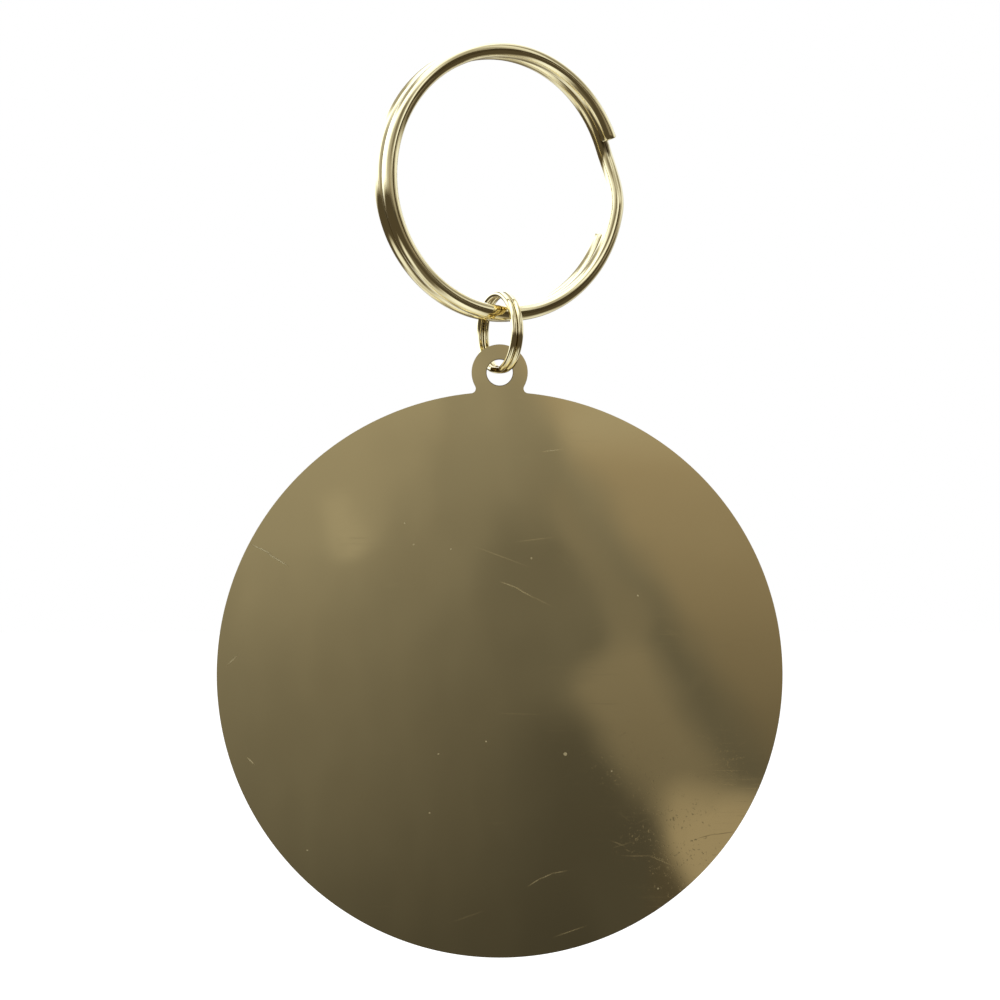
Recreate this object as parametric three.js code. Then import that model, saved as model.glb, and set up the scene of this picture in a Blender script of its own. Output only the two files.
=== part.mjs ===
import * as THREE from 'three';

// Key tag, in millimetres: a flat round metal blank with an ear hangs on a small split ring,
// and that hangs on a large split ring for keys. It is stored hanging, as the photograph shows it:
// +Z is up, and the viewer looks along +Y at the face of the blank, with +X to the right.
// The origin is at the top of the large ring's bore, on what would carry it.

// Sizes of the blank, which is stamped from one sheet.
const discDiameter = 50;
const plateThickness = 1;
const edgeChamfer = 0.08;
const earWallWidth = 1.33;
const earHoleStandoff = 1.71;
const neckFilletRadius = 0.42;

// Sizes of the large ring, which holds the keys.
const keyRingDiameter = 24.6;
const keyWireDiameter = 1.35;

// Sizes of the small ring, which links the blank to the large one.
const linkRingDiameter = 7.3;
const linkWireDiameter = 0.57;

// Room between the two turns of a ring, and round what passes through something else.
const turnGap = 0.42;
const linkSeatClearance = 0.35;
const earHoleClearance = 0.1;
const earHangDrop = 0.2;

// How far each ring is turned about the vertical. A positive angle takes its right side away.
const keyRingTurnDegrees = 30;
const linkRingTurnDegrees = -63;

// Where each wire is cut, and where it steps from its front turn to its back turn, in degrees
// round the ring from its right side and upwards. The wire starts at its front cut end.
const keyWireDegrees = { frontEnd: 20, stepStart: 340, stepEnd: 382, backEnd: 702 };
const linkWireDegrees = { frontEnd: 299, stepStart: 598, stepEnd: 658, backEnd: 957 };

// Counts of facets and samples.
const discFacets = 144;
const earFacets = 40;
const filletFacets = 6;
const holeFacets = 36;
const keyStepsPerTurn = 60;
const keyWireSides = 10;
const linkStepsPerTurn = 40;
const linkWireSides = 8;
const gapSamplesPerTurn = 180;
const gapSkippedSamples = 45;

const polishedBrass = { color: 0xcdb06c, roughness: 0.12, metalness: 1 };

// A smooth step is half as steep again in its middle as a straight one.
const smoothStepSteepness = 1.5;

const radians = THREE.MathUtils.degToRad;
const quarterTurn = radians(90);
const fullTurn = radians(360);

// The centre line of a split ring's wire: a turn at the front, a step across, a turn behind.
class SplitRingLine extends THREE.Curve {
  constructor(ringDiameter, wireDiameter, wireDegrees) {
    super();
    this.wireDiameter = wireDiameter;
    this.meanRadius = (ringDiameter - wireDiameter) / 2;
    this.boreRadius = this.meanRadius - wireDiameter / 2;
    this.turnPitch = wireDiameter + turnGap;
    this.frontEnd = radians(wireDegrees.frontEnd);
    this.stepStart = radians(wireDegrees.stepStart);
    this.stepEnd = radians(wireDegrees.stepEnd);
    this.backEnd = radians(wireDegrees.backEnd);
    this.turns = (this.backEnd - this.frontEnd) / fullTurn;
  }

  getPoint(share, target = new THREE.Vector3()) {
    const angle = THREE.MathUtils.lerp(this.frontEnd, this.backEnd, share);
    const acrossShare = THREE.MathUtils.smoothstep(angle, this.stepStart, this.stepEnd);
    const depth = THREE.MathUtils.lerp(-this.turnPitch / 2, this.turnPitch / 2, acrossShare);
    return target.set(this.meanRadius * Math.cos(angle), depth, this.meanRadius * Math.sin(angle));
  }

  // The steepest angle of the step across.
  get stepSlant() {
    const stepLength = this.meanRadius * (this.stepEnd - this.stepStart);
    return Math.atan((smoothStepSteepness * this.turnPitch) / stepLength);
  }

  // The least room between the wire and itself, from points a quarter turn or more apart on it.
  leastGap() {
    const count = Math.ceil(gapSamplesPerTurn * this.turns);
    const points = this.getPoints(count);
    let least = Infinity;
    for (let first = 0; first <= count; first += 1) {
      for (let second = first + gapSkippedSamples; second <= count; second += 1) {
        least = Math.min(least, points[first].distanceTo(points[second]));
      }
    }
    return least - this.wireDiameter;
  }
}

const keyRingLine = new SplitRingLine(keyRingDiameter, keyWireDiameter, keyWireDegrees);
const linkRingLine = new SplitRingLine(linkRingDiameter, linkWireDiameter, linkWireDegrees);

// One unbroken wire along a split ring's centre line, with square cut ends.
function splitRingGeometry(line, stepsPerTurn, sides) {
  const corners = new THREE.ArcCurve(0, 0, line.wireDiameter / 2, 0, fullTurn).getPoints(sides);
  return new THREE.ExtrudeGeometry(new THREE.Shape(corners.slice(0, sides)), {
    steps: Math.ceil(stepsPerTurn * line.turns),
    extrudePath: line,
  });
}

// The link ring's wire steps across where it goes through the ear. Its slant to the axis of the
// hole is the ring's own turn plus that of the step, and the hole clears it at both faces.
function earHoleRadius() {
  const slant = quarterTurn + radians(linkRingTurnDegrees) + linkRingLine.stepSlant;
  const wireReach = linkWireDiameter / 2 / Math.cos(slant);
  const sideways = (plateThickness / 2) * Math.tan(slant) + wireReach;
  return Math.hypot(sideways, earHangDrop) + earHoleClearance;
}

// Points along an arc but for its last one, which the next arc of the outline starts with.
function arcPoints(x, y, radius, startAngle, endAngle, clockwise, facets) {
  return new THREE.ArcCurve(x, y, radius, startAngle, endAngle, clockwise).getPoints(facets).slice(0, -1);
}

// The blank's outline about the centre of its hole: round the disc, up a small fillet, round the
// ear and down the other fillet. Each fillet touches the circles of the disc and the ear.
function blankShape(holeRadius) {
  const discRadius = discDiameter / 2;
  const discBelow = discRadius + earHoleStandoff;
  const earRadius = holeRadius + earWallWidth;
  const filletToDisc = discRadius + neckFilletRadius;
  const filletToEar = earRadius + neckFilletRadius;
  const filletBelow = (discBelow ** 2 + filletToEar ** 2 - filletToDisc ** 2) / (2 * discBelow);
  const filletAside = Math.sqrt(filletToEar ** 2 - filletBelow ** 2);
  const fromDisc = Math.atan2(discBelow - filletBelow, filletAside);
  const fromEar = Math.atan2(-filletBelow, filletAside);
  const half = Math.PI;

  const rightFillet = [filletAside, -filletBelow, neckFilletRadius];
  const leftFillet = [-filletAside, -filletBelow, neckFilletRadius];
  const shape = new THREE.Shape([
    ...arcPoints(0, -discBelow, discRadius, half - fromDisc, fullTurn + fromDisc, false, discFacets),
    ...arcPoints(...rightFillet, half + fromDisc, half + fromEar, true, filletFacets),
    ...arcPoints(0, 0, earRadius, fromEar, half - fromEar, false, earFacets),
    ...arcPoints(...leftFillet, -fromEar, -fromDisc, true, filletFacets),
  ]);
  shape.holes.push(new THREE.Path(arcPoints(0, 0, holeRadius, 0, fullTurn, false, holeFacets)));
  return shape;
}

// The flat blank, standing upright about the centre of its hole, with its edges broken.
function blankGeometry() {
  const geometry = new THREE.ExtrudeGeometry(blankShape(earHoleRadius()), {
    depth: plateThickness - 2 * edgeChamfer,
    bevelThickness: edgeChamfer,
    bevelSize: edgeChamfer,
    bevelOffset: -edgeChamfer,
    bevelSegments: 1,
  });
  return geometry.translate(0, 0, edgeChamfer - plateThickness / 2).rotateX(quarterTurn);
}

function brassMesh(name, geometry) {
  const mesh = new THREE.Mesh(geometry, new THREE.MeshStandardMaterial(polishedBrass));
  mesh.name = name;
  return mesh;
}

// The large ring hangs by the top of its bore.
function keyRing() {
  const mesh = brassMesh('key_ring', splitRingGeometry(keyRingLine, keyStepsPerTurn, keyWireSides));
  mesh.rotation.z = radians(keyRingTurnDegrees);
  mesh.position.z = -keyRingLine.boreRadius;
  return mesh;
}

// The link ring's bore rests on both turns of the large ring's wire, side by side in it.
function linkRing() {
  const mesh = brassMesh('link_ring', splitRingGeometry(linkRingLine, linkStepsPerTurn, linkWireSides));
  const keyWireReach = linkRingLine.boreRadius - linkSeatClearance - keyWireDiameter / 2;
  const seatDrop = Math.sqrt(keyWireReach ** 2 - (keyRingLine.turnPitch / 2) ** 2);
  mesh.rotation.z = radians(linkRingTurnDegrees);
  mesh.position.z = -keyRingLine.boreRadius - keyRingLine.meanRadius - seatDrop;
  return mesh;
}

// The blank hangs by its ear on the foot of the link ring.
function tagDisc(link) {
  const mesh = brassMesh('tag_disc', blankGeometry());
  mesh.position.z = link.position.z - linkRingLine.meanRadius - earHangDrop;
  return mesh;
}

const keyTag = new THREE.Group();
const link = linkRing();
keyTag.add(keyRing(), link, tagDisc(link));

console.log(`key_ring, least gap between its turns: ${keyRingLine.leastGap().toFixed(3)} mm`);
console.log(`link_ring, least gap between its turns: ${linkRingLine.leastGap().toFixed(3)} mm`);

export default keyTag;
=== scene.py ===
"""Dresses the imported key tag: a round brass blank on a small split ring and a large one.

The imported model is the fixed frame. Every piece is made in metres, in the frame's own axes: +Z is
up, the shown face of the blank looks along -Y, and the origin is the top of the large ring's bore.
"""

import logging
import math
from dataclasses import dataclass
from enum import Enum
from typing import Optional, Sequence, Union

import bmesh
import bpy
from bmesh.types import BMesh, BMVert
from bpy.types import Material, Node, NodeOutputs, NodeSocket, NodeTree, Object, Scene
from mathutils import Matrix, Vector


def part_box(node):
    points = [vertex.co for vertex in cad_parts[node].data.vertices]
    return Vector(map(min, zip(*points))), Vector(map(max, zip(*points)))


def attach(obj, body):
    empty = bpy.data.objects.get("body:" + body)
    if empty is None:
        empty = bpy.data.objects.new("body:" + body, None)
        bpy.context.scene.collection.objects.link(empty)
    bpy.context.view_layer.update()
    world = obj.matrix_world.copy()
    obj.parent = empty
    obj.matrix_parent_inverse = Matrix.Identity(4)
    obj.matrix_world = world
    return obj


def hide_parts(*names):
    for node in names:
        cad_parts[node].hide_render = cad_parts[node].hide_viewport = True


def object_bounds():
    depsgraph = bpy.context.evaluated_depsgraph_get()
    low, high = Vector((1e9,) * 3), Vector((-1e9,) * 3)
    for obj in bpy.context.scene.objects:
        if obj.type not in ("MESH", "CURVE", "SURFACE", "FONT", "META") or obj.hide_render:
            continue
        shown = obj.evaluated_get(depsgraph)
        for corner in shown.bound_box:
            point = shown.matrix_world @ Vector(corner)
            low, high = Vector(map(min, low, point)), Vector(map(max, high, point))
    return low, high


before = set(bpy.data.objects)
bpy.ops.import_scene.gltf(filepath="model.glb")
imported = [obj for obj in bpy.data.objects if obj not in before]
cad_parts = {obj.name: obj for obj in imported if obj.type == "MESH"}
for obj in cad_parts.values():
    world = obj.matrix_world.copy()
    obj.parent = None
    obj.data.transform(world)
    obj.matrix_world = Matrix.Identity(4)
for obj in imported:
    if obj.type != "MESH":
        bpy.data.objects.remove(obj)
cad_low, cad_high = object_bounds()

log = logging.getLogger("key_tag")

MM = 0.001
UP = Vector((0, 0, 1))
ACROSS = Vector((1, 0, 0))
BACKWARDS = Vector((0, 1, 0))

Value = Union[float, Sequence[float], NodeSocket]


class Body(Enum):
    """The bodies that the pieces ride on, by their names in the frame."""

    KEY_RING = "key_ring"
    LINK_RING = "link_ring"
    TAG_DISC = "tag_disc"


class Slot(Enum):
    """The record's material slots."""

    BLANK = "blank"
    LINK_WIRE = "link_wire"
    KEY_WIRE = "key_wire"


# Node trees


class Nodes:
    """A node tree, with one short call for each kind of node that this scene uses."""

    def __init__(self, tree: NodeTree) -> None:
        """Takes over the tree of a material, a world or a node group, and clears it."""
        self.tree = tree
        tree.nodes.clear()

    def add(self, kind: str, **settings: object) -> Node:
        """Adds a node.

        Args:
            kind: The node's type, without its ShaderNode prefix.
            settings: Its own properties.

        Returns:
            The new node.
        """
        prefix = "" if kind.startswith("NodeGroup") else "ShaderNode"
        node = self.tree.nodes.new(prefix + kind)
        for name, value in settings.items():
            setattr(node, name, value)
        return node

    def feed(self, socket: NodeSocket, value: Value) -> None:
        """Gives an input its value.

        Args:
            socket: The input.
            value: An output to link to it, or a constant to set on it.
        """
        if isinstance(value, NodeSocket):
            self.tree.links.new(value, socket)
        else:
            socket.default_value = value

    def fill(self, node: Node, **values: Value) -> Node:
        """Gives a node's inputs their values.

        Args:
            node: The node.
            values: The inputs by name, with _ for a space.

        Returns:
            The node.
        """
        for name, value in values.items():
            label = name.replace("_", " ")
            self.feed(next(s for s in node.inputs if s.name == label and s.enabled), value)
        return node

    def fill_in_order(self, node: Node, values: Sequence[Value]) -> NodeOutputs:
        """Gives a node's first inputs their values.

        Args:
            node: The node.
            values: The inputs, in order.

        Returns:
            The node's outputs.
        """
        for socket, value in zip(node.inputs, values):
            self.feed(socket, value)
        return node.outputs

    def math(self, operation: str, *values: Value) -> NodeSocket:
        """Does a Math node's operation on numbers."""
        return self.fill_in_order(self.add("Math", operation=operation), values)["Value"]

    def times(self, first: Value, second: Value) -> NodeSocket:
        """Multiplies two numbers."""
        return self.math("MULTIPLY", first, second)

    def vector(self, operation: str, *values: Value) -> NodeSocket:
        """Does a Vector Math node's operation on vectors, and gives a vector or a number."""
        outputs = self.fill_in_order(self.add("VectorMath", operation=operation), values)
        return outputs["Value" if operation in ("LENGTH", "DISTANCE") else "Vector"]

    def parts(self, vector: Value) -> tuple:
        """Splits a vector into its x, y and z."""
        return tuple(self.fill(self.add("SeparateXYZ"), Vector=vector).outputs)

    def join(self, x: Value, y: Value, z: Value) -> NodeSocket:
        """Makes a vector of its x, y and z."""
        return self.fill(self.add("CombineXYZ"), X=x, Y=y, Z=z).outputs["Vector"]

    def ramp(self, value: Value, start: Value, end: Value, low: Value = 0.0, high: Value = 1.0,
             smooth: bool = True) -> NodeSocket:
        """Maps a number from one range to another, clamped at both ends.

        Args:
            value: The number.
            start: Where the result is low.
            end: Where the result is high.
            low: The result at start.
            high: The result at end.
            smooth: Whether the change eases in and out.

        Returns:
            The mapped number.
        """
        node = self.add("MapRange", interpolation_type="SMOOTHSTEP" if smooth else "LINEAR")
        self.fill(node, Value=value, From_Min=start, From_Max=end, To_Min=low, To_Max=high)
        return node.outputs["Result"]

    def noise(self, vector: Value, scale: float, detail: float = 2.0, roughness: float = 0.5,
              distortion: float = 0.0) -> NodeSocket:
        """Adds fractal noise.

        Args:
            vector: Where it is read.
            scale: Its features in each unit of the vector.
            detail: Its number of finer layers.
            roughness: How strong the finer layers are.
            distortion: How much it is warped.

        Returns:
            A number around a half.
        """
        node = self.add("TexNoise")
        self.fill(node, Vector=vector, Scale=scale, Detail=detail, Roughness=roughness,
                  Distortion=distortion)
        return node.outputs["Fac"]

    def blend(self, kind: str, share: Value, first: Value, second: Value) -> NodeSocket:
        """Mixes two numbers or two colours.

        Args:
            kind: The Mix node's kind of data.
            share: How much of the second is in the result.
            first: The first number or colour.
            second: The second number or colour.

        Returns:
            The mixed number or colour.
        """
        node = self.fill(self.add("Mix", data_type=kind), Factor=share, A=first, B=second)
        return next(s for s in node.outputs if s.enabled)

    def mix(self, share: Value, first: Value, second: Value) -> NodeSocket:
        """Mixes two numbers."""
        return self.blend("FLOAT", share, first, second)

    def tint(self, share: Value, first: Value, second: Value) -> NodeSocket:
        """Mixes two colours."""
        return self.blend("RGBA", share, first, second)

    def bump(self, height: Value, distance: float, strength: float = 1.0,
             over: Optional[NodeSocket] = None, invert: bool = False) -> NodeSocket:
        """Adds relief.

        Args:
            height: The height of the relief.
            distance: How high a height of 1 stands.
            strength: How much of it shows.
            over: The normal that it lies on, if there is one.
            invert: Whether it goes inwards.

        Returns:
            The normal.
        """
        node = self.add("Bump", invert=invert)
        self.fill(node, Height=height, Distance=distance, Strength=strength)
        if over is not None:
            self.feed(node.inputs["Normal"], over)
        return node.outputs["Normal"]

    def group(self, group: NodeTree, **values: Value) -> NodeOutputs:
        """Places a shared node group and gives its outputs. Its inputs have _ for a space."""
        return self.fill(self.add("Group", node_tree=group), **values).outputs


class GroupNodes(Nodes):
    """The tree of a new shader node group."""

    def __init__(self, name: str, inputs: dict, outputs: Sequence[str]) -> None:
        """Makes the group with its sockets.

        Args:
            name: The group's name.
            inputs: Each input's name and default: a number, or three of them for a vector.
            outputs: The names of its outputs, all numbers.
        """
        super().__init__(bpy.data.node_groups.new(name, "ShaderNodeTree"))
        for label, default in inputs.items():
            kind = "NodeSocketFloat" if isinstance(default, (int, float)) else "NodeSocketVector"
            socket = self.tree.interface.new_socket(name=label, in_out="INPUT", socket_type=kind)
            socket.default_value = default
        for label in outputs:
            self.tree.interface.new_socket(name=label, in_out="OUTPUT", socket_type="NodeSocketFloat")
        self.inputs = self.add("NodeGroupInput").outputs

    def give(self, **results: Value) -> NodeTree:
        """Links the group's outputs and gives its finished tree."""
        self.fill(self.add("NodeGroupOutput"), **results)
        return self.tree


def mark_group() -> NodeTree:
    """Makes the group for one mark: a long thin ellipse for a scratch, a round one for a speck.

    Returns:
        The group, with its output Mask.
    """
    group = GroupNodes(
        "Single mark",
        {"Place": (0, 0, 0), "Centre": (0, 0, 0), "Turn": (0, 0, 0), "Half Size": (1, 1, 1), "Depth": 1.0},
        ["Mask"],
    )
    sizes = [group.inputs[name] for name in ("Place", "Centre", "Turn", "Half Size")]
    placed = group.fill_in_order(group.add("Mapping", vector_type="TEXTURE"), sizes)["Vector"]
    inside = group.fill(group.add("TexGradient", gradient_type="SPHERICAL"), Vector=placed)
    return group.give(Mask=group.times(inside.outputs["Fac"], group.inputs["Depth"]))


def hairline_group() -> NodeTree:
    """Makes the group for fine straight hairlines that all run one way.

    Returns:
        The group, with its output Mask.
    """
    group = GroupNodes(
        "Hairlines",
        {"Place": (0, 0, 0), "Angle": 0.0, "Fineness": 8.0, "Length": 6.0, "Share": 0.2},
        ["Mask"],
    )
    turned = group.add("VectorRotate", rotation_type="Y_AXIS")
    group.fill(turned, Vector=group.inputs["Place"], Angle=group.inputs["Angle"])
    x, y, z = group.parts(turned.outputs["Vector"])
    along = group.math("DIVIDE", x, group.inputs["Length"])
    across = group.times(z, group.inputs["Fineness"])
    lines = group.noise(group.join(along, y, across), 1.0, 2.0, 0.55)
    patches = group.noise(group.inputs["Place"], 0.16)
    edge = group.math("SUBTRACT", 0.78, group.times(group.inputs["Share"], 0.5))
    shown = group.ramp(lines, edge, group.math("ADD", edge, 0.1))
    return group.give(Mask=group.times(shown, group.ramp(patches, 0.42, 0.62)))


def dust_group() -> NodeTree:
    """Makes the group for scattered fine dust and pin pricks.

    Returns:
        The group, with its output Mask.
    """
    group = GroupNodes(
        "Scattered dust", {"Place": (0, 0, 0), "Spacing": 2.0, "Radius": 0.08, "Share": 0.3}, ["Mask"]
    )
    scaled = group.vector("DIVIDE", group.inputs["Place"], group.join(*[group.inputs["Spacing"]] * 3))
    cells = group.add("TexVoronoi", feature="F1", voronoi_dimensions="3D")
    group.fill(cells, Vector=scaled, Scale=1.0)
    distance = group.times(cells.outputs["Distance"], group.inputs["Spacing"])
    core = group.times(group.inputs["Radius"], 0.4)
    grain = group.ramp(distance, core, group.inputs["Radius"], 1.0, 0.0)
    draw = group.parts(cells.outputs["Color"])[0]
    kept = group.math("LESS_THAN", draw, group.inputs["Share"])
    return group.give(Mask=group.times(grain, kept))


def tarnish_group() -> NodeTree:
    """Makes the group for the soft clouds of tarnish and finger grease on polished brass.

    Returns:
        The group, with its outputs Tarnish and Grease.
    """
    group = GroupNodes(
        "Tarnish clouds", {"Place": (0, 0, 0), "Cloud Size": 12.0}, ["Tarnish", "Grease"]
    )
    spread = group.vector("DIVIDE", group.inputs["Place"], group.join(*[group.inputs["Cloud Size"]] * 3))
    clouds = group.noise(spread, 1.0, 4.0, 0.55, 0.3)
    prints = group.noise(group.vector("ADD", spread, (7.3, 2.1, 4.7)), 2.4, 5.0, 0.62, 0.6)
    return group.give(Tarnish=group.ramp(clouds, 0.35, 0.7), Grease=group.ramp(prints, 0.48, 0.68))


@dataclass(frozen=True)
class SharedGroups:
    """The node groups that the finishes share."""

    mark: NodeTree
    hairlines: NodeTree
    dust: NodeTree
    tarnish: NodeTree

    @classmethod
    def build(cls) -> "SharedGroups":
        """Makes every group once."""
        return cls(mark_group(), hairline_group(), dust_group(), tarnish_group())


# Finishes


@dataclass(frozen=True)
class Brass:
    """The colour of the metal itself, clean and a little tarnished, and a dark brown that serves both as
    dirt and as painted shade.
    """

    clean: tuple = (0.84, 0.72, 0.39, 1.0)
    tarnished: tuple = (0.81, 0.68, 0.36, 1.0)
    # Dark brown for the dirt in the dirty scratches and for the painted shade in the hole and between the
    # wire's turns.
    grime_and_shade: tuple = (0.13, 0.09, 0.04, 1.0)


def metal_material(name: str) -> tuple:
    """Makes a material with a metal surface.

    Args:
        name: The material's name.

    Returns:
        The material, its nodes and its shader.
    """
    material = bpy.data.materials.new(name)
    material.use_nodes = True
    nodes = Nodes(material.node_tree)
    surface = nodes.fill(nodes.add("BsdfPrincipled"), Metallic=1.0)
    nodes.fill(nodes.add("OutputMaterial"), Surface=surface.outputs["BSDF"])
    return material, nodes, surface


@dataclass(frozen=True)
class Scratch:
    """A scratch or a speck on the shown face, in millimetres from the centre of the disc."""

    start: tuple
    end: tuple
    width: float = 0.16
    depth: float = 1.0

    @property
    def middle(self) -> tuple:
        """The point halfway along it."""
        return ((self.start[0] + self.end[0]) / 2, 0.0, (self.start[1] + self.end[1]) / 2)

    @property
    def turn(self) -> tuple:
        """Its turn about the disc's axis."""
        return (0.0, -math.atan2(self.end[1] - self.start[1], self.end[0] - self.start[0]), 0.0)

    @property
    def half_size(self) -> tuple:
        """Half its length and width. It fades to nothing at its ends."""
        length = math.dist(self.start, self.end) + self.width
        return (length / 2, 1.0, self.width / 2)


def speck(x: float, z: float, width: float = 0.2, depth: float = 2.0) -> Scratch:
    """Makes a scratch of no length, which is a round speck."""
    return Scratch((x, z), (x, z), width, depth)


MARKS = (
    Scratch((-22.1, 11.6), (-20.0, 10.6), 0.18, 2.0),
    Scratch((-20.8, 10.9), (-18.5, 9.5), 0.18, 2.0),
    Scratch((-24.2, 0.7), (-23.0, 1.9), 0.16, 1.2),
    Scratch((-22.4, -7.2), (-21.6, -8.0), 0.2, 1.5),
    Scratch((-0.1, 8.3), (2.0, 7.5), 0.14, 1.0),
    Scratch((1.2, 7.8), (3.2, 6.7), 0.14, 0.9),
    Scratch((2.5, 7.1), (4.9, 5.9), 0.12, 0.4),
    Scratch((3.7, 19.7), (5.7, 19.95), 0.15, 1.1),
    Scratch((2.3, -18.8), (3.9, -17.8), 0.14, 0.8),
    Scratch((3.2, -18.2), (5.0, -17.4), 0.14, 0.8),
    Scratch((4.3, -17.6), (6.1, -17.3), 0.14, 0.7),
    Scratch((4.4, -23.3), (7.9, -22.1), 0.14, 0.7),
    Scratch((-5.2, -22.2), (-0.4, -20.5), 0.17, 0.35),
    Scratch((9.7, -14.6), (11.2, -15.2), 0.12, 0.4),
    Scratch((9.6, -15.4), (11.9, -14.7), 0.12, 0.25),
    Scratch((10.2, -16.0), (13.9, -16.0), 0.14, 0.22),
    Scratch((13.0, -15.9), (15.6, -17.0), 0.14, 0.3),
    Scratch((-3.7, 11.9), (3.2, 9.3), 0.12, 0.35),
    Scratch((1.0, 11.7), (5.2, 12.2), 0.12, 0.3),
    Scratch((-1.7, -3.4), (4.3, -3.5), 0.11, 0.35),
    Scratch((-2.4, -13.1), (1.6, -13.1), 0.1, 0.3),
    speck(5.8, -7.0, 0.36, 3.0),
    speck(-8.4, 13.4),
    speck(-7.6, 11.5),
    speck(-4.3, 11.1),
    speck(2.8, 10.3),
    speck(12.2, 7.0, 0.22),
    speck(-1.2, -5.9),
    speck(-5.4, -7.0),
    speck(-6.2, -12.2),
    speck(-17.0, -15.5),
    speck(9.9, -8.5),
    speck(14.0, -18.9),
)


# Scratches that hold a little dirt, so they look dark.
DIRTY_MARKS = (
    Scratch((17.3, -14.5), (19.2, -14.0), 0.12, 0.6),
    Scratch((18.4, -14.2), (21.2, -13.8), 0.12, 0.6),
)


@dataclass(frozen=True)
class PolishedSheet:
    """The blank's finish: polished brass sheet with the hairlines and knocks of handling, and painted shade
    in and round its hole.

    Places and sizes on the sheet are in millimetres from the centre of the disc. Each set of
    hairlines has its angle in degrees, its fineness, its length and its share.
    """

    groups: SharedGroups
    centre: Vector
    brass: Brass = Brass()
    polish: float = 0.03
    worn_polish: float = 0.5
    cloud_size: float = 14.0
    tarnish_share: float = 0.5
    grease_dulling: float = 0.015
    hair_dulling: float = 0.05
    prick_wear: float = 0.3
    back_wear: float = 2.5
    hair_sets: tuple = ((0, 9.0, 7.0, 0.3), (24, 7.0, 5.0, 0.2), (-38, 8.0, 4.0, 0.2))
    scuffed_spots: tuple = (((15.0, 0.0, -15.0), 6.5), ((19.0, 0.0, -7.5), 4.0), ((11.5, 0.0, -8.0), 5.0))
    # The hole's wall and a thin rim round it on both faces are darkened with painted shade.
    hole_centre: tuple = (0.0, 0.0, 26.71)
    hole_reach: float = 1.26
    hole_soft_edge: float = 0.1
    hole_painted_shade: float = 0.8
    wave_height: float = 0.012 * MM
    hair_depth: float = 0.00012 * MM
    prick_depth: float = 0.0015 * MM

    def material(self) -> Material:
        """Makes the material.

        Returns:
            The material, on Object coordinates about the centre of the disc.
        """
        material, nodes, surface = metal_material("polished_sheet")
        mapping = nodes.add("Mapping", vector_type="TEXTURE")
        nodes.fill(mapping, Vector=nodes.add("TexCoord").outputs["Object"], Location=self.centre,
                   Scale=(MM, MM, MM))
        place = mapping.outputs["Vector"]
        x, y, z = nodes.parts(place)
        on_face = nodes.join(x, 0.0, z)
        shown = nodes.math("LESS_THAN", y, 0.0)

        marks = nodes.times(self.placed_marks(nodes, on_face, MARKS), shown)
        worn_back = nodes.mix(shown, self.back_wear, 1.0)
        hairs = nodes.times(self.hairlines(nodes, place), worn_back)
        dust = nodes.group(self.groups.dust, Place=place, Spacing=3.1, Radius=0.07, Share=0.22)["Mask"]
        scuffs = self.scuffs(nodes, on_face)
        pricked = nodes.times(nodes.math("MAXIMUM", dust, scuffs), self.prick_wear)
        wear = nodes.math("MAXIMUM", marks, pricked)
        clouds = nodes.group(self.groups.tarnish, Place=place, Cloud_Size=self.cloud_size)

        tarnish = nodes.times(clouds["Tarnish"], self.tarnish_share)
        metal = nodes.tint(tarnish, self.brass.clean, self.brass.tarnished)
        # Painted shade: the hole's wall and a thin rim round it on both faces go toward the dark brown.
        from_hole = nodes.vector("DISTANCE", on_face, self.hole_centre)
        hole_rim = self.hole_reach - self.hole_soft_edge
        hole_shade = nodes.ramp(from_hole, hole_rim, self.hole_reach, self.hole_painted_shade, 0.0)
        dirty = nodes.times(self.placed_marks(nodes, on_face, DIRTY_MARKS), shown)
        # The darkening holds the painted shade of the hole and the real dirt of the dirty scratches.
        darkening = nodes.math("MAXIMUM", hole_shade, dirty)
        grease = nodes.times(clouds["Grease"], worn_back)
        greasy = nodes.math("MULTIPLY_ADD", grease, self.grease_dulling, self.polish)
        haired = nodes.math("MULTIPLY_ADD", hairs, self.hair_dulling, greasy)
        nodes.fill(
            surface, Base_Color=nodes.tint(darkening, metal, self.brass.grime_and_shade),
            Roughness=nodes.mix(wear, haired, self.worn_polish),
            Normal=self.relief(nodes, place, hairs, scuffs),
        )
        return material

    def placed_marks(self, nodes: Nodes, on_face: NodeSocket,
                     marks: Sequence[Scratch]) -> NodeSocket:
        """Lays the scratches and specks that can be told apart.

        Args:
            nodes: The material's nodes.
            on_face: The place on the face.
            marks: The scratches and specks.

        Returns:
            Their mask.
        """
        mask: Value = 0.0
        for mark in marks:
            line = nodes.group(
                self.groups.mark, Place=on_face, Centre=mark.middle, Turn=mark.turn,
                Half_Size=mark.half_size, Depth=mark.depth,
            )
            mask = nodes.math("MAXIMUM", mask, line["Mask"])
        return nodes.math("MINIMUM", mask, 1.0)

    def scuffs(self, nodes: Nodes, on_face: NodeSocket) -> NodeSocket:
        """Scatters fine uneven pricks round the spots that have been knocked most.

        Args:
            nodes: The material's nodes.
            on_face: The place on the face.

        Returns:
            Their mask.
        """
        pricks = nodes.ramp(nodes.noise(on_face, 3.6, 3.0, 0.62, 0.7), 0.61, 0.7)
        near: Value = 0.0
        for spot, reach in self.scuffed_spots:
            away = nodes.vector("DISTANCE", on_face, spot)
            near = nodes.math("MAXIMUM", near, nodes.ramp(away, 0.5, reach, 1.0, 0.0))
        patchy = nodes.ramp(nodes.noise(on_face, 0.6, 2.0, 0.6), 0.38, 0.6)
        return nodes.times(pricks, nodes.times(near, patchy))

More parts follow.
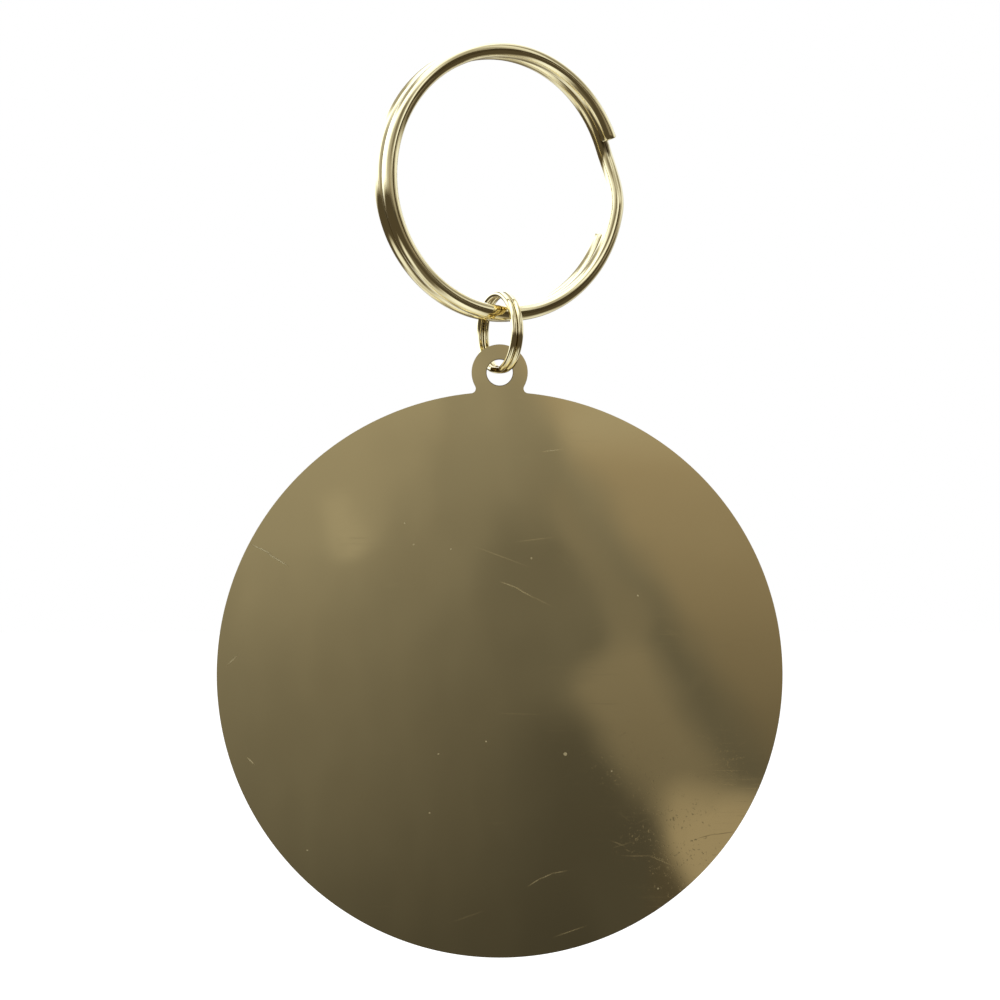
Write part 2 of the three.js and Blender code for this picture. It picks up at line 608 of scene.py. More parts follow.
    def hairlines(self, nodes: Nodes, place: NodeSocket) -> NodeSocket:
        """Crosses a few sets of hairlines.

        Args:
            nodes: The material's nodes.
            place: The place on the sheet.

        Returns:
            Their mask.
        """
        mask: Value = 0.0
        for degrees, fineness, length, share in self.hair_sets:
            offset = nodes.vector("ADD", place, (degrees, 0.0, -degrees))
            lines = nodes.group(
                self.groups.hairlines, Place=offset, Angle=math.radians(degrees), Fineness=fineness,
                Length=length, Share=share,
            )
            mask = nodes.math("MAXIMUM", mask, lines["Mask"])
        return mask

    def relief(self, nodes: Nodes, place: NodeSocket, hairs: NodeSocket,
               scuffs: NodeSocket) -> NodeSocket:
        """Gives the sheet its very slight rolling waves, and depth to its hairlines and pricks.

        Args:
            nodes: The material's nodes.
            place: The place on the sheet.
            hairs: The mask of the hairlines.
            scuffs: The mask of the pricks.

        Returns:
            The normal.
        """
        wavy = nodes.bump(nodes.noise(place, 0.11, 1.0, 0.4), self.wave_height)
        cut = nodes.bump(hairs, self.hair_depth, 0.5, over=wavy, invert=True)
        return nodes.bump(scuffs, self.prick_depth, 0.6, over=cut, invert=True)


@dataclass(frozen=True)
class DrawnWire:
    """The finish of a ring's wire: bright drawn brass, with its lines along the wire, and painted shade in
    the crevice between its turns.
    """

    name: str
    groups: SharedGroups
    brass: Brass = Brass()
    polish: float = 0.05
    streak_dulling: float = 0.06
    grease_dulling: float = 0.03
    dusty_polish: float = 0.45
    cloud_size: float = 5.0
    tarnish_share: float = 0.6
    deepest_crevice_shade: float = 0.9
    line_depth: float = 0.035 * MM
    fine_line_depth: float = 0.01 * MM

    def material(self) -> Material:
        """Makes the material.

        Returns:
            The material, on the wire's own place attribute.
        """
        material, nodes, surface = metal_material(self.name)
        place = nodes.add("Attribute", attribute_name=WIRE_PLACE).outputs["Vector"]
        along, side, front = nodes.parts(place)
        drawn = nodes.noise(nodes.join(nodes.times(along, 0.05), side, front), 9.0, 3.0, 0.6)
        lines = nodes.noise(nodes.join(nodes.times(along, 0.03), side, front), 3.5, 0.0)
        clouds = nodes.group(self.groups.tarnish, Place=place, Cloud_Size=self.cloud_size)
        dust = nodes.group(self.groups.dust, Place=place, Spacing=0.9, Radius=0.06, Share=0.15)["Mask"]

        tarnish = nodes.times(clouds["Tarnish"], self.tarnish_share)
        metal = nodes.tint(tarnish, self.brass.clean, self.brass.tarnished)
        # Painted shade: the wire goes toward the dark brown where it faces the other turn, in the crevice
        # between the turns, a little unevenly with the grease clouds.
        facing = nodes.add("Attribute", attribute_name=WIRE_CREVICE).outputs["Fac"]
        uneven = nodes.math("MULTIPLY_ADD", clouds["Grease"], 0.06, facing)
        darkening = nodes.ramp(uneven, 0.8, 1.0, 0.0, self.deepest_crevice_shade)
        streaked = nodes.ramp(drawn, 0.35, 0.7, self.polish, self.polish + self.streak_dulling)
        greasy = nodes.math("MULTIPLY_ADD", clouds["Grease"], self.grease_dulling, streaked)
        lined = nodes.bump(lines, self.line_depth)
        fine = nodes.math("SUBTRACT", drawn, nodes.times(dust, 0.5))
        nodes.fill(
            surface, Base_Color=nodes.tint(darkening, metal, self.brass.grime_and_shade),
            Roughness=nodes.mix(dust, greasy, self.dusty_polish),
            Normal=nodes.bump(fine, self.fine_line_depth, 0.4, over=lined),
        )
        return material


# Pieces


def new_object(name: str, bm: BMesh, material: Material) -> Object:
    """Turns a bmesh into an object in the scene.

    Args:
        name: The object's name.
        bm: Its mesh, which is freed here.
        material: Its material.

    Returns:
        The object.
    """
    mesh = bpy.data.meshes.new(name)
    bm.to_mesh(mesh)
    bm.free()
    mesh.materials.append(material)
    made = bpy.data.objects.new(name, mesh)
    bpy.context.scene.collection.objects.link(made)
    return made


def finished_piece(name: str, bm: BMesh, material: Material, body: Body,
                   node: str) -> Object:
    """Turns a bmesh into a piece that stands for a CAD node.

    Args:
        name: The piece's name.
        bm: Its mesh, which is freed here.
        material: Its material.
        body: The body that it rides on.
        node: The CAD node that it replaces.

    Returns:
        The piece.
    """
    piece = new_object(name, bm, material)
    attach(piece, body.value)
    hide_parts(node)
    log.info("%s: %d faces, stands for %s", name, len(piece.data.polygons), node)
    return piece


def spin_on(bm: BMesh, tip: list, centre: Vector, angle: float, steps: int, shift: Vector) -> list:
    """Spins geometry about an axis that looks toward the viewer.

    Args:
        bm: The mesh.
        tip: The vertices, edges and faces to spin.
        centre: A point of the axis.
        angle: How far it goes round.
        steps: The number of steps.
        shift: How far each step moves it as well.

    Returns:
        The geometry at the end of the spin.
    """
    return bmesh.ops.spin(
        bm, geom=tip, cent=centre, axis=-BACKWARDS, angle=angle, steps=steps, dvec=shift,
        use_merge=False, use_normal_flip=False, use_duplicate=False,
    )["geom_last"]


def round_edges(bm: BMesh, edges: list, offset: float, segments: int) -> None:
    """Rounds edges with a bevel.

    Args:
        bm: The mesh.
        edges: The edges.
        offset: How far the rounding reaches from them.
        segments: Its number of faces.
    """
    bmesh.ops.bevel(
        bm, geom=edges, offset=offset, offset_type="OFFSET", segments=segments, profile=0.5,
        affect="EDGES", clamp_overlap=True, material=-1,
    )


# What a wire's points know: their place along and across it, and how far they face the other turn, which
# places the painted shade between the turns.
WIRE_PLACE = "wire_place"
WIRE_CREVICE = "wire_crevice"


@dataclass
class SplitRing:
    """A split ring: one wire wound twice, which steps across from its front turn to its back one."""

    name: str
    node: str
    body: Body
    slot: Slot
    finish: DrawnWire
    centre: Vector
    diameter: float
    wire_diameter: float
    heading: float
    front_end: float
    step_start: float
    step_end: float
    back_end: float
    turn_gap: float = 0.02 * MM
    steps_per_turn: int = 150
    wire_sides: int = 28
    end_rounding: float = 0.09
    end_segments: int = 3

    @property
    def mean_radius(self) -> float:
        """The radius of the wire's centre line."""
        return (self.diameter - self.wire_diameter) / 2

    @property
    def turn_pitch(self) -> float:
        """The distance between the centre lines of the two turns."""
        return self.wire_diameter + self.turn_gap

    def shift_at(self, degrees: float) -> float:
        """Gives how far back the wire lies.

        Args:
            degrees: The angle along the wire.

        Returns:
            The distance of its centre line behind the ring's middle plane.
        """
        share = (degrees - self.step_start) / (self.step_end - self.step_start)
        share = min(max(share, 0.0), 1.0)
        eased = share * share * (3 - 2 * share)
        return (eased - 0.5) * self.turn_pitch

    def build(self) -> Object:
        """Builds the ring.

        Returns:
            The finished piece.
        """
        bm = bmesh.new()
        bm.verts.layers.float_vector.new(WIRE_PLACE)
        bm.verts.layers.float.new(WIRE_CREVICE)
        self.wind(bm)
        bmesh.ops.recalc_face_normals(bm, faces=bm.faces)
        self.round_ends(bm)
        for face in bm.faces:
            face.smooth = True
        turned = Matrix.Rotation(math.radians(self.heading), 4, UP)
        bmesh.ops.transform(bm, matrix=Matrix.Translation(self.centre) @ turned, verts=bm.verts)
        return finished_piece(self.name, bm, self.finish.material(), self.body, self.node)

    def wind(self, bm: BMesh) -> None:
        """Winds the wire by spinning its round section a step at a time.

        Args:
            bm: The empty mesh, with the wire's layers.
        """
        out = Matrix.Translation((self.mean_radius, self.shift_at(self.front_end), 0))
        bmesh.ops.create_circle(
            bm, cap_ends=True, radius=self.wire_diameter / 2, segments=self.wire_sides, matrix=out
        )
        section = list(bm.verts)
        start = Matrix.Rotation(math.radians(self.front_end), 4, -BACKWARDS)
        bmesh.ops.transform(bm, matrix=start, verts=section)
        self.note_place(bm, section, self.front_end)

        count = math.ceil((self.back_end - self.front_end) / 360 * self.steps_per_turn)
        turn = (self.back_end - self.front_end) / count
        tip = list(bm.faces) + list(bm.edges) + section
        for step in range(count):
            before = self.front_end + step * turn
            shift = BACKWARDS * (self.shift_at(before + turn) - self.shift_at(before))
            tip = spin_on(bm, tip, Vector((0, 0, 0)), math.radians(turn), 1, shift)
            verts = [g for g in tip if isinstance(g, BMVert)]
            self.note_place(bm, verts, before + turn)

    def note_place(self, bm: BMesh, verts: list, degrees: float) -> None:
        """Writes a section's places in millimetres, and how far its points face the other turn.

        Args:
            bm: The wire.
            verts: The section's points.
            degrees: The section's angle along the wire.
        """
        place = bm.verts.layers.float_vector[WIRE_PLACE]
        crevice = bm.verts.layers.float[WIRE_CREVICE]
        shift = self.shift_at(degrees)
        along = math.radians(degrees) * self.mean_radius / MM
        toward_other = -2 * shift / self.turn_pitch
        for vert in verts:
            out = math.hypot(vert.co.x, vert.co.z) - self.mean_radius
            back = vert.co.y - shift
            vert[place] = Vector((along, out / MM, back / MM))
            vert[crevice] = toward_other * back / (self.wire_diameter / 2)

    def round_ends(self, bm: BMesh) -> None:
        """Breaks the sharp edges of the two cut ends.

        Args:
            bm: The wound wire.
        """
        rims = [edge for edge in bm.edges if any(len(face.verts) > 4 for face in edge.link_faces)]
        round_edges(bm, rims, self.wire_diameter * self.end_rounding, self.end_segments)


@dataclass
class TagBlank:
    """The blank: a flat disc with a pierced ear, stamped from one sheet."""

    finish: PolishedSheet
    centre: Vector
    disc_radius: float
    thickness: float = 1 * MM
    ear_radius: float = 2.484 * MM
    hole_radius: float = 1.154 * MM
    hole_rise: float = 26.71 * MM
    neck_fillet: float = 0.42 * MM
    rim_rounding: float = 0.1 * MM
    rim_segments: int = 4
    disc_steps: int = 360
    ear_steps: int = 72
    fillet_steps: int = 12
    hole_steps: int = 96
    merge_reach: float = 0.001 * MM
    least_rim_angle: float = math.radians(60)

    def build(self) -> Object:
        """Builds the blank.

        Returns:
            The finished piece.
        """
        bm = bmesh.new()
        self.draw_outline(bm)
        self.pierce_hole(bm)
        bmesh.ops.triangle_fill(bm, use_beauty=True, use_dissolve=False, edges=bm.edges, normal=-BACKWARDS)
        self.thicken(bm)
        self.round_rims(bm)
        bmesh.ops.translate(bm, vec=self.centre, verts=bm.verts)
        return finished_piece(
            "tag_blank", bm, self.finish.material(), Body.TAG_DISC, "tag_disc"
        )

    def neck(self) -> tuple:
        """Works out the fillets between the disc and the ear, which touch both circles.

        Returns:
            The right fillet's centre, and the angles at which it leaves the disc and the ear.
        """
        to_disc = self.disc_radius + self.neck_fillet
        to_ear = self.ear_radius + self.neck_fillet
        up = (to_disc ** 2 - to_ear ** 2 + self.hole_rise ** 2) / (2 * self.hole_rise)
        aside = math.sqrt(to_disc ** 2 - up ** 2)
        from_disc = math.atan2(up, aside)
        from_ear = math.atan2(up - self.hole_rise, aside)
        return Vector((aside, 0, up)), from_disc, from_ear

    def draw_outline(self, bm: BMesh) -> None:
        """Draws half of the outline by spinning a point round each arc, and mirrors it.

        Args:
            bm: The empty mesh.
        """
        fillet, from_disc, from_ear = self.neck()
        quarter = math.radians(90)
        arcs = (
            (Vector((0, 0, 0)), quarter + from_disc, self.disc_steps // 2),
            (fillet, from_ear - from_disc, self.fillet_steps),
            (Vector((0, 0, self.hole_rise)), quarter - from_ear, self.ear_steps // 2),
        )
        tip = bmesh.ops.create_vert(bm, co=(0, 0, -self.disc_radius))["vert"]
        for centre, angle, steps in arcs:
            tip = spin_on(bm, tip, centre, angle, steps, Vector((0, 0, 0)))
        bmesh.ops.mirror(bm, geom=bm.verts[:] + bm.edges[:], axis="X", merge_dist=self.merge_reach)
        bmesh.ops.remove_doubles(bm, verts=bm.verts, dist=self.merge_reach)

    def pierce_hole(self, bm: BMesh) -> None:
        """Draws the hole's circle.

        Args:
            bm: The outline.
        """
        upright = Matrix.Rotation(math.radians(90), 4, ACROSS)
        place = Matrix.Translation((0, 0, self.hole_rise))
        bmesh.ops.create_circle(
            bm, cap_ends=False, radius=self.hole_radius, segments=self.hole_steps, matrix=place @ upright
        )

    def thicken(self, bm: BMesh) -> None:
        """Gives the filled outline its thickness, half of it to each side.

        Args:
            bm: The filled outline.
        """
        bmesh.ops.translate(bm, vec=-BACKWARDS * self.thickness / 2, verts=bm.verts)
        made = bmesh.ops.extrude_face_region(bm, geom=bm.faces[:], use_keep_orig=True)
        back = [g for g in made["geom"] if isinstance(g, BMVert)]
        bmesh.ops.translate(bm, vec=BACKWARDS * self.thickness, verts=back)
        bmesh.ops.recalc_face_normals(bm, faces=bm.faces)

    def round_rims(self, bm: BMesh) -> None:
        """Rounds the outline's and the hole's edges on both faces, and smooths all but the flat faces.

        Args:
            bm: The thick blank.
        """
        bm.normal_update()
        rims = [edge for edge in bm.edges if edge.calc_face_angle(0.0) > self.least_rim_angle]
        round_edges(bm, rims, self.rim_rounding, self.rim_segments)
        bm.normal_update()
        for face in bm.faces:
            face.smooth = abs(face.normal.y) < 0.9999


# The studio


def panel_group() -> NodeTree:
    """Makes the group for one soft panel in the surroundings.

    Returns:
        The group, with its output Mask.
    """
    group = GroupNodes(
        "Soft panel",
        {"Across": 0.0, "Up": 0.0, "Centre Across": 0.0, "Centre Up": 0.0, "Half Width": 10.0,
         "Half Height": 10.0, "Turn": 0.0, "Soft Edge": 5.0},
        ["Mask"],
    )
    gone = group.math("SUBTRACT", group.inputs["Across"], group.inputs["Centre Across"])
    right = group.math("WRAP", gone, 180.0, -180.0)
    above = group.math("SUBTRACT", group.inputs["Up"], group.inputs["Centre Up"])
    back = group.times(group.inputs["Turn"], -1.0)
    turned = group.add("VectorRotate", rotation_type="Z_AXIS")
    group.fill(turned, Vector=group.join(right, above, 0.0), Angle=back)
    x, y, _ = group.parts(turned.outputs["Vector"])
    past_side = group.math("SUBTRACT", group.math("ABSOLUTE", x), group.inputs["Half Width"])
    past_end = group.math("SUBTRACT", group.math("ABSOLUTE", y), group.inputs["Half Height"])
    outside = group.join(group.math("MAXIMUM", past_side, 0.0), group.math("MAXIMUM", past_end, 0.0), 0.0)
    distance = group.vector("LENGTH", outside)
    return group.give(Mask=group.ramp(distance, 0.0, group.inputs["Soft Edge"], 1.0, 0.0))


@dataclass(frozen=True)
class Panel:
    """A soft patch in the surroundings that brightens or darkens what is there.

    Its level changes by its rise for each step up from its centre.
    """

    centre: tuple
    half_size: tuple
    soft_edge: float
    level: float
    rise: float = 0.0
    turn: float = 0.0
    warmth: float = 0.0


# What polished metal sees all round, in degrees: azimuth from the camera's side to the right, and
# elevation. Level 1 is the white of the backdrop.
ROOM_PANELS = (
    Panel((5, 27), (4, 9), 12, 0.2),
    Panel((34, 24), (5, 10), 9, 1.35),
    Panel((88, 40), (8, 8), 22, 0.3),
    Panel((70, 36), (3, 9), 13, 1.05),
    Panel((130, 12), (34, 9), 9, 1.15),
    Panel((60, 5), (7, 11), 8, 0.05),
    Panel((-122, 45), (39, 4.5), 12, 0.45, turn=math.radians(19)),
    Panel((160, -16), (18, 12), 26, 0.75),
    Panel((-160, -27), (6, 8), 12, 0.85),
    Panel((176, -33), (9, 20), 10, 0.2),
)

# What lies on the table below, in shares of its depth under the tag: to the right and toward the
# camera.
TABLE_PANELS = (
    Panel((-0.72, -0.72), (0.14, 0.5), 0.32, 1.0, turn=math.radians(-20)),
    Panel((-0.75, 0.5), (0.1, 0.1), 0.7, 1.15),
    Panel((-0.03, 0.85), (0.1, 0.25), 0.35, 0.15),
    Panel((0.4, 0.46), (0.02, 0.22), 0.45, 1.3, turn=math.radians(-38)),
    Panel((0.66, -0.75), (0.1, 0.1), 0.6, 1.0),
)

# What the blank's face mirrors from just round the camera, in millimetres on the face.
FACE_SLANT = math.radians(32.7)
FACE_PANELS = (
    Panel((8.0, -15.5), (2.0, 8.0), 8.0, 0.071, rise=0.0014),
    Panel((-20.8, 17.9), (8.0, 5.0), 3.2, 0.337, rise=0.005),
    Panel((-13.9, 13.2), (0.2, 1.8), 2.4, 0.375, turn=0.25),
    Panel((-7.5, 26.0), (4.0, 1.0), 5.0, 0.36),
    Panel((3.2, 8.8), (1.6, 2.0), 5.0, 0.152),
    Panel((-3.2, 19.0), (1.2, 6.0), 1.8, 0.262, rise=0.0066),
    Panel((8.4, 10.0), (0.3, 5.9), 2.2, 0.2, rise=0.004, turn=FACE_SLANT, warmth=0.3),
    Panel((11.0, 3.5), (0.3, 2.5), 2.2, 0.19, warmth=0.3),
    Panel((13.1, -5.0), (2.0, 5.9), 3.8, 0.188, rise=0.004, turn=FACE_SLANT, warmth=0.6),
    Panel((33.9, 17.7), (20.0, 40.0), 3.7, 0.3, rise=0.0068, turn=FACE_SLANT, warmth=1.0),
    Panel((12.5, 23.5), (4.5, 1.0), 5.0, 0.39, warmth=0.3),
    Panel((20.2, -17.0), (5.2, 5.0), 2.6, 0.32, turn=math.radians(-5), warmth=1.0),
    Panel((12.1, -19.5), (2.9, 5.5), 3.0, 0.071, turn=math.radians(28)),
)
ROUND_CAMERA = Panel((0, 1), (28, 29), 40, 1.0)


@dataclass
class Room:
    """What polished metal sees: a brightness and a colour for each direction."""

    nodes: Nodes
    panel: NodeTree
    camera_distance: float
    camera_rise: float
    overhead: float = 2.0
    horizon: tuple = (-7.0, 5.0)
    table_fade: tuple = (0.95, 0.1)
    table_dim: float = 0.078
    table_bright: float = 0.85
    least_drop: float = 0.02
    room_red: float = 0.94
    red_falloff: float = -0.09
    room_blue: float = 1.16
    blue_falloff: float = 0.17
    near_red: float = 1.065
    near_blue: float = 0.915
    patch_warmth: float = 0.08

    def colour(self, direction: NodeSocket) -> NodeSocket:
        """Works out the colour of the surroundings in a direction.

        Args:
            direction: The direction.

        Returns:
            The colour, cool where it is bright, and warm where the room is.
        """
        nodes = self.nodes
        x, y, z = nodes.parts(direction)
        toward = nodes.times(y, -1.0)
        azimuth = nodes.math("DEGREES", nodes.math("ARCTAN2", x, toward))
        elevation = nodes.math("DEGREES", nodes.math("ARCSINE", z))
        down = nodes.math("MAXIMUM", nodes.times(z, -1.0), self.least_drop)
        table_right = nodes.math("DIVIDE", x, down)
        table_near = nodes.math("DIVIDE", toward, down)

        from_under = nodes.vector("LENGTH", nodes.join(table_right, table_near, 0.0))
        ground = nodes.ramp(from_under, *self.table_fade, self.table_dim, self.table_bright)
        sky = self.sky_level(azimuth, elevation)
        room = nodes.mix(nodes.ramp(elevation, *self.horizon), ground, sky)
        room = self.lay_panels(ROOM_PANELS, azimuth, elevation, room)
        table = self.lay_panels(TABLE_PANELS, table_right, table_near, room)
        room = nodes.mix(nodes.math("LESS_THAN", z, 0.0), room, table)

        scale = nodes.math("DIVIDE", self.camera_distance / MM, nodes.math("MAXIMUM", toward, 0.001))
        right = nodes.times(x, scale)
        above = nodes.math("MULTIPLY_ADD", z, scale, self.camera_rise / MM)
        face = self.lay_panels(FACE_PANELS, right, above, self.face_level(right, above))
        warmth: Value = 0.0
        for part in FACE_PANELS:
            if part.warmth:
                warmth = nodes.mix(self.panel_mask(part, right, above), warmth, part.warmth)
        ahead = nodes.math("GREATER_THAN", toward, 0.0)
        in_front = nodes.times(self.panel_mask(ROUND_CAMERA, right, above), ahead)
        level = nodes.mix(in_front, room, face)
        return self.light_colour(level, nodes.times(in_front, warmth), in_front)

    def light_colour(self, level: NodeSocket, warmth: NodeSocket,
                     in_front: NodeSocket) -> NodeSocket:
        """Colours the surroundings: bright panels are cool, dim corners and the warm patches are warm.

        Args:
            level: The brightness.
            warmth: How warm the light is.
            in_front: The mask of what lies just round the camera, where the light is neutral.

        Returns:
            The colour.
        """
        nodes = self.nodes
        far_red = nodes.times(nodes.math("POWER", level, self.red_falloff), self.room_red)
        far_blue = nodes.times(nodes.math("POWER", level, self.blue_falloff), self.room_blue)
        cool_red = nodes.mix(in_front, far_red, self.near_red)
        cool_blue = nodes.mix(in_front, far_blue, self.near_blue)
        more = nodes.math("MULTIPLY_ADD", warmth, self.patch_warmth, 1.0)
        less = nodes.math("MULTIPLY_ADD", warmth, -self.patch_warmth, 1.0)
        shares = (nodes.times(cool_red, more), 1.0, nodes.times(cool_blue, less))
        colour = nodes.add("CombineColor")
        nodes.fill_in_order(colour, [nodes.times(level, share) for share in shares])
        return colour.outputs["Color"]

    def sky_level(self, azimuth: NodeSocket, elevation: NodeSocket) -> NodeSocket:
        """Gives the room's brightness above the table: bright overhead and to the left.

        Args:
            azimuth: The direction's azimuth in degrees.
            elevation: The direction's elevation in degrees.

        Returns:
            The level.
        """
        nodes = self.nodes
        left = nodes.ramp(azimuth, -62.0, -14.0, self.overhead, 0.5)
        right = nodes.ramp(azimuth, 90.0, 170.0, 0.35, 1.45, smooth=False)
        low = nodes.math("MAXIMUM", left, right)
        foot = nodes.ramp(azimuth, -20.0, 60.0, 26.0, 45.0)
        return nodes.mix(nodes.ramp(elevation, foot, nodes.math("ADD", foot, 29.0)), low, self.overhead)

    def face_level(self, right: NodeSocket, above: NodeSocket) -> NodeSocket:
        """Gives the plain brightness that the blank's face mirrors: dim at its foot and to its right.

        Args:
            right: Millimetres to the right on the face.
            above: Millimetres up on the face.

        Returns:
            The level.
        """
        nodes = self.nodes
        left_side = nodes.math(
            "ADD", nodes.ramp(above, -24.0, 0.0, 0.086, 0.205, smooth=False),
            nodes.ramp(above, 0.0, 18.0, 0.0, 0.147, smooth=False),
        )
        middle = nodes.math(
            "ADD", nodes.ramp(above, -24.0, 4.0, 0.068, 0.143, smooth=False),
            nodes.ramp(above, 4.0, 24.0, 0.0, 0.133, smooth=False),
        )
        smooth = nodes.mix(nodes.ramp(right, -22.0, 5.0), left_side, middle)
        folds = nodes.noise(nodes.join(right, nodes.times(above, 0.3), 0.0), 0.28)
        return nodes.times(smooth, nodes.ramp(folds, 0.3, 0.7, 0.94, 1.06, smooth=False))

    def panel_mask(self, part: Panel, right: NodeSocket, above: NodeSocket) -> NodeSocket:
        """Gives the mask of one panel at a place across and up."""
        return self.nodes.group(
            self.panel, Across=right, Up=above, Centre_Across=part.centre[0], Centre_Up=part.centre[1],
            Half_Width=part.half_size[0], Half_Height=part.half_size[1], Turn=part.turn,
            Soft_Edge=part.soft_edge,
        )["Mask"]

    def lay_panels(self, panels: Sequence[Panel], right: NodeSocket, above: NodeSocket,
                   under: NodeSocket) -> NodeSocket:
        """Lays panels over what is there, one after another.

        Args:
            panels: The panels.
            right: The place across.
            above: The place up.
            under: The level below them.

        Returns:
            The level with the panels.
        """
        for part in panels:
            level: Value = part.level
            if part.rise:
                at_zero = part.level - part.rise * part.centre[1]
                level = self.nodes.math("MULTIPLY_ADD", above, part.rise, at_zero)
            under = self.nodes.mix(self.panel_mask(part, right, above), under, level)
        return under


@dataclass
class Studio:
    """The pale floor, the soft light, the white backdrop and the camera."""

    disc_centre: Vector
    frame_width: float = 88.51 * MM
    camera_distance: float = 260 * MM
    camera_rise: float = 15.44 * MM
    camera_aside: float = 0.03 * MM
    sensor: float = 36.0
    floor_drop: float = 25 * MM
    floor_radius: float = 1.2
    floor_steps: int = 96
    floor_shade: float = 0.86
    floor_glow: float = 0.45
    soft_light: float = 0.75
    lamp_size: float = 0.5
    lamp_power: float = 2.0
    lamp_place: tuple = (-0.25, -0.2, 0.7)
    lamp_aim: tuple = (0, 0, -0.06)

    def build(self) -> None:
        """Builds the studio."""
        scene = bpy.context.scene
        scene.view_settings.view_transform = "Standard"
        self.place_camera(scene)
        self.lay_floor()
        self.hang_lamp()
        self.surround(scene)
        log.info("studio: camera, floor, lamp and surroundings")

    def place_camera(self, scene: Scene) -> None:
        """Places the camera square in front of the blank.

        Args:
            scene: The scene to give it to.
        """
        lens = bpy.data.cameras.new("camera")
        lens.sensor_width = self.sensor
        lens.lens = self.sensor * self.camera_distance / self.frame_width
        lens.clip_start = 0.01
        lens.clip_end = 20.0
        camera = bpy.data.objects.new("camera", lens)
        camera.location = (
            self.camera_aside, -self.camera_distance, self.disc_centre.z + self.camera_rise
        )
        camera.rotation_euler = (math.radians(90), 0, 0)
        scene.collection.objects.link(camera)
        scene.camera = camera

    def lay_floor(self) -> None:
        """Lays the round pale floor under the tag, which polished metal doesn't show."""
        bm = bmesh.new()
        place = Matrix.Translation((0, 0, Vector(cad_low).z - self.floor_drop))
        bmesh.ops.create_circle(
            bm, cap_ends=True, radius=self.floor_radius, segments=self.floor_steps, matrix=place
        )
        floor = new_object("studio_floor", bm, self.floor_material())
        floor.visible_glossy = False

    def floor_material(self) -> Material:
        """Makes the floor's matt finish, which the camera sees white but for the shadow on it.

        Returns:
            The material.
        """
        material = bpy.data.materials.new("pale_floor")
        material.use_nodes = True
        nodes = Nodes(material.node_tree)
        matt = nodes.fill(nodes.add("BsdfDiffuse"), Color=(self.floor_shade,) * 3 + (1.0,))
        lit = nodes.times(self.seen_directly(nodes), self.floor_glow)
        glow = nodes.fill(nodes.add("Emission"), Strength=lit)
        both = nodes.fill_in_order(nodes.add("AddShader"), (matt.outputs["BSDF"], glow.outputs["Emission"]))
        nodes.fill(nodes.add("OutputMaterial"), Surface=both["Shader"])
        return material

    @staticmethod
    def seen_directly(nodes: Nodes) -> NodeSocket:
        """Gives the mask of what the camera sees, straight or through glass."""
        paths = nodes.add("LightPath").outputs
        return nodes.math("MAXIMUM", paths["Is Camera Ray"], paths["Is Transmission Ray"])

    def hang_lamp(self) -> None:
        """Hangs one large soft lamp above, for the floor and its shadow."""
        light = bpy.data.lights.new("soft_lamp", "AREA")
        light.shape = "DISK"
        light.size = self.lamp_size
        light.energy = self.lamp_power
        lamp = bpy.data.objects.new("soft_lamp", light)
        lamp.location = self.lamp_place
        aim = Vector(self.lamp_aim) - lamp.location
        lamp.rotation_euler = aim.to_track_quat("-Z", "Y").to_euler()
        lamp.visible_glossy = False
        bpy.context.scene.collection.objects.link(lamp)

    def surround(self, scene: Scene) -> None:
        """Surrounds the tag: white to the camera, plain to soft light, and a room to polished metal.

        Args:
            scene: The scene to give the world to.
        """
        world = bpy.data.worlds.new("studio")
        world.use_nodes = True
        scene.world = world
        nodes = Nodes(world.node_tree)
        room = Room(nodes, panel_group(), self.camera_distance, self.camera_rise)
        mirrored = room.colour(nodes.add("TexCoord").outputs["Generated"])
        plain = (self.soft_light,) * 3 + (1.0,)
        soft_or_room = nodes.tint(nodes.add("LightPath").outputs["Is Glossy Ray"], plain, mirrored)
        shown = nodes.tint(self.seen_directly(nodes), soft_or_room, (1.0, 1.0, 1.0, 1.0))
        back = nodes.fill(nodes.add("Background"), Color=shown)
        nodes.fill(nodes.add("OutputWorld"), Surface=back.outputs["Background"])


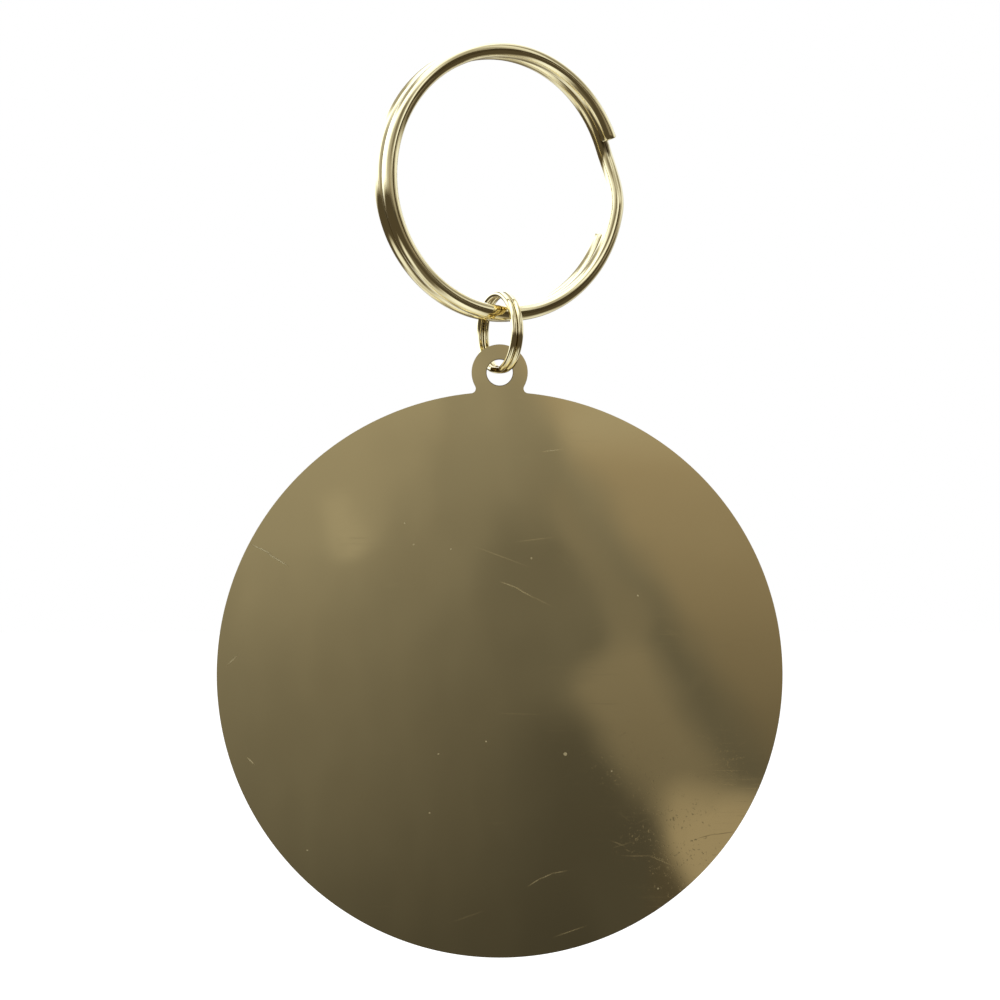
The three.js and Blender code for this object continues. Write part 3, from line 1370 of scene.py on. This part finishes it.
@dataclass
class KeyTag:
    """The whole tag, with each piece where the frame has its node.

    The large ring uses a little of the slack that the loose loops have.
    """

    disc_radius: float = 25 * MM
    key_ring_diameter: float = 24.6 * MM
    key_wire_diameter: float = 1.35 * MM
    key_turn_gap: float = 0.13 * MM
    key_ring_slack: tuple = (0.19 * MM, 0.0, -0.22 * MM)
    link_ring_diameter: float = 7.3 * MM
    link_wire_diameter: float = 0.57 * MM

    @property
    def disc_centre(self) -> Vector:
        """The centre of the disc, its radius above the blank's lowest point."""
        low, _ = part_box("tag_disc")
        return Vector((0, 0, low[2] + self.disc_radius))

    def build(self) -> list:
        """Builds the pieces in order.

        Returns:
            The finished pieces.
        """
        groups = SharedGroups.build()
        key_ring = SplitRing(
            "key_ring_wire", "key_ring", Body.KEY_RING, Slot.KEY_WIRE,
            DrawnWire("bright_key_wire", groups),
            self.ring_centre("key_ring") + Vector(self.key_ring_slack), self.key_ring_diameter,
            self.key_wire_diameter, heading=30, front_end=22.2, step_start=350, step_end=379,
            back_end=699, turn_gap=self.key_turn_gap,
        )
        link_ring = SplitRing(
            "link_ring_wire", "link_ring", Body.LINK_RING, Slot.LINK_WIRE,
            DrawnWire("bright_link_wire", groups),
            self.ring_centre("link_ring"), self.link_ring_diameter, self.link_wire_diameter, heading=-63,
            front_end=286, step_start=610, step_end=646, back_end=970, steps_per_turn=96, wire_sides=22,
        )
        sheet = PolishedSheet(groups, self.disc_centre)
        blank = TagBlank(sheet, self.disc_centre, self.disc_radius)
        return [key_ring.build(), link_ring.build(), blank.build()]

    @staticmethod
    def ring_centre(node: str) -> Vector:
        """Gives a ring's centre, on the frame's upright axis halfway up the CAD node's box."""
        low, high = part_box(node)
        return Vector((0, 0, (low[2] + high[2]) / 2))


def main() -> None:
    """Builds the tag and its studio."""
    logging.basicConfig(level=logging.INFO, format="%(name)s: %(message)s")
    tag = KeyTag()
    pieces = tag.build()
    Studio(tag.disc_centre).build()
    log.info("%d pieces", len(pieces))


if __name__ == "__main__":
    main()
